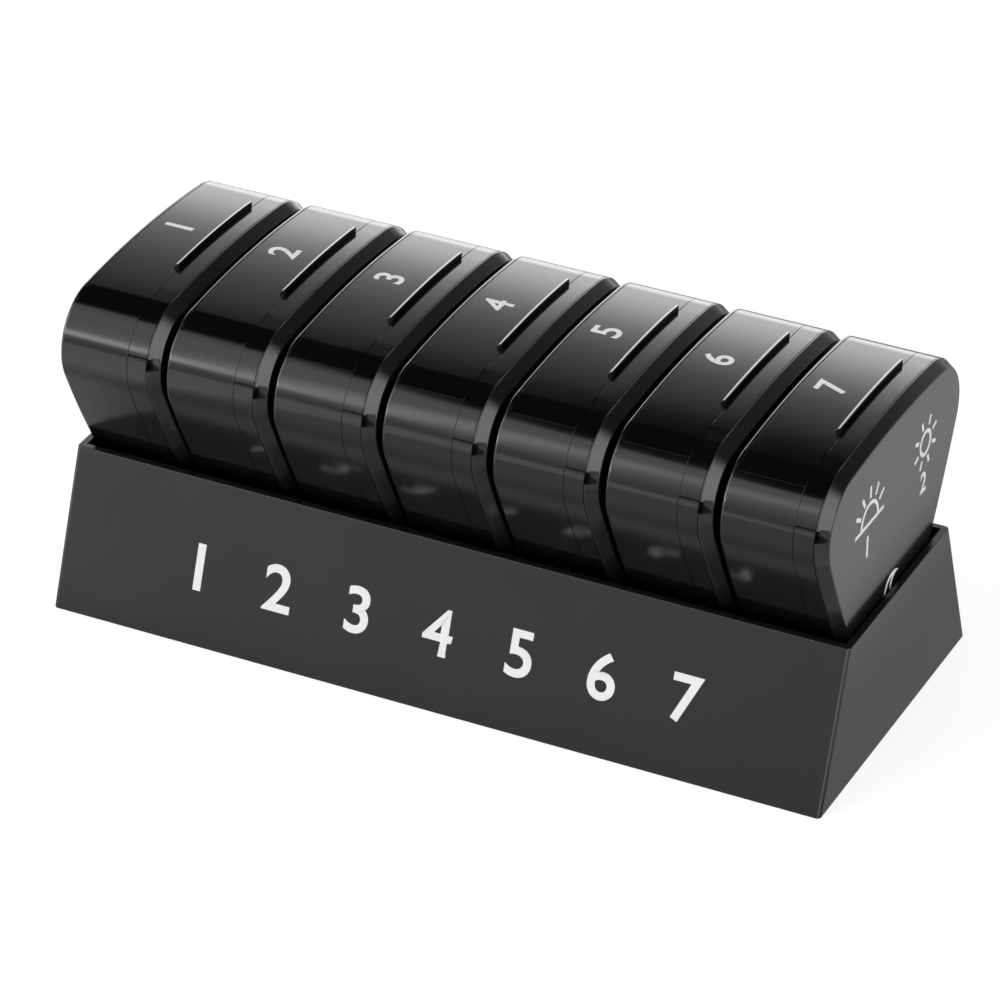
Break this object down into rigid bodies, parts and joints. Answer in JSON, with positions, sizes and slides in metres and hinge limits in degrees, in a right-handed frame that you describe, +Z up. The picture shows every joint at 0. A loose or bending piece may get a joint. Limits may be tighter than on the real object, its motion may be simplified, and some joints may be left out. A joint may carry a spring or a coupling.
{
  "type": "weekly pill organizer",
  "caption": "Long tray with a row of lift-out pill boxes, one per day, each with a rounded triangular section, a hinged lid with a finger lip, wells for separate doses and an end cap.",
  "frame": {"origin": "on the table under the middle of the tray", "axes": "+X along the row of boxes from day 1 to day 7, +Y from the front to the back where the lids hinge, +Z up"},
  "size_m": [0.1956, 0.0848, 0.0835],
  "materials": {
    "gloss_black": "high-gloss black, moulded",
    "satin_black": "fine satin, dark charcoal",
    "pin_steel": "drawn steel wire"
  },
  "bodies": {
    "tray": {"tray_shell": "satin_black", "cradle": "satin_black"},
    "day_1_box": {"day_1_case": "gloss_black", "day_1_hinge_pin": "pin_steel", "day_1_tub": "gloss_black", "day_1_end_cap": "satin_black"},
    "day_1_lid": {"day_1_lid": "gloss_black"},
    "day_2_box": {"day_2_case": "gloss_black", "day_2_hinge_pin": "pin_steel", "day_2_tub": "gloss_black", "day_2_end_cap": "satin_black"},
    "day_2_lid": {"day_2_lid": "gloss_black"},
    "day_3_box": {"day_3_case": "gloss_black", "day_3_hinge_pin": "pin_steel", "day_3_tub": "gloss_black", "day_3_end_cap": "satin_black"},
    "day_3_lid": {"day_3_lid": "gloss_black"},
    "day_4_box": {"day_4_case": "gloss_black", "day_4_hinge_pin": "pin_steel", "day_4_tub": "gloss_black", "day_4_end_cap": "satin_black"},
    "day_4_lid": {"day_4_lid": "gloss_black"},
    "day_5_box": {"day_5_case": "gloss_black", "day_5_hinge_pin": "pin_steel", "day_5_tub": "gloss_black", "day_5_end_cap": "satin_black"},
    "day_5_lid": {"day_5_lid": "gloss_black"},
    "day_6_box": {"day_6_case": "gloss_black", "day_6_hinge_pin": "pin_steel", "day_6_tub": "gloss_black", "day_6_end_cap": "satin_black"},
    "day_6_lid": {"day_6_lid": "gloss_black"},
    "day_7_box": {"day_7_case": "gloss_black", "day_7_hinge_pin": "pin_steel", "day_7_tub": "gloss_black", "day_7_end_cap": "satin_black"},
    "day_7_lid": {"day_7_lid": "gloss_black"}
  },
  "joints": [
    {"name": "day_1_lift", "type": "slide", "parent": "tray", "child": "day_1_box", "axis": [0, 0, 1], "range_m": [0, 0.06]},
    {"name": "day_1_lid_hinge", "type": "hinge", "parent": "day_1_box", "child": "day_1_lid", "pos_m": [-0.0858, 0.03263, 0.07535], "axis": [-1, 0, 0], "range_deg": [0, 105]},
    {"name": "day_2_lift", "type": "slide", "parent": "tray", "child": "day_2_box", "axis": [0, 0, 1], "range_m": [0, 0.06]},
    {"name": "day_2_lid_hinge", "type": "hinge", "parent": "day_2_box", "child": "day_2_lid", "pos_m": [-0.0583, 0.03263, 0.07535], "axis": [-1, 0, 0], "range_deg": [0, 105]},
    {"name": "day_3_lift", "type": "slide", "parent": "tray", "child": "day_3_box", "axis": [0, 0, 1], "range_m": [0, 0.06]},
    {"name": "day_3_lid_hinge", "type": "hinge", "parent": "day_3_box", "child": "day_3_lid", "pos_m": [-0.0308, 0.03263, 0.07535], "axis": [-1, 0, 0], "range_deg": [0, 105]},
    {"name": "day_4_lift", "type": "slide", "parent": "tray", "child": "day_4_box", "axis": [0, 0, 1], "range_m": [0, 0.06]},
    {"name": "day_4_lid_hinge", "type": "hinge", "parent": "day_4_box", "child": "day_4_lid", "pos_m": [-0.0033, 0.03263, 0.07535], "axis": [-1, 0, 0], "range_deg": [0, 105]},
    {"name": "day_5_lift", "type": "slide", "parent": "tray", "child": "day_5_box", "axis": [0, 0, 1], "range_m": [0, 0.06]},
    {"name": "day_5_lid_hinge", "type": "hinge", "parent": "day_5_box", "child": "day_5_lid", "pos_m": [0.0242, 0.03263, 0.07535], "axis": [-1, 0, 0], "range_deg": [0, 105]},
    {"name": "day_6_lift", "type": "slide", "parent": "tray", "child": "day_6_box", "axis": [0, 0, 1], "range_m": [0, 0.06]},
    {"name": "day_6_lid_hinge", "type": "hinge", "parent": "day_6_box", "child": "day_6_lid", "pos_m": [0.0517, 0.03263, 0.07535], "axis": [-1, 0, 0], "range_deg": [0, 105]},
    {"name": "day_7_lift", "type": "slide", "parent": "tray", "child": "day_7_box", "axis": [0, 0, 1], "range_m": [0, 0.06]},
    {"name": "day_7_lid_hinge", "type": "hinge", "parent": "day_7_box", "child": "day_7_lid", "pos_m": [0.0792, 0.03263, 0.07535], "axis": [-1, 0, 0], "range_deg": [0, 105]}
  ]
}
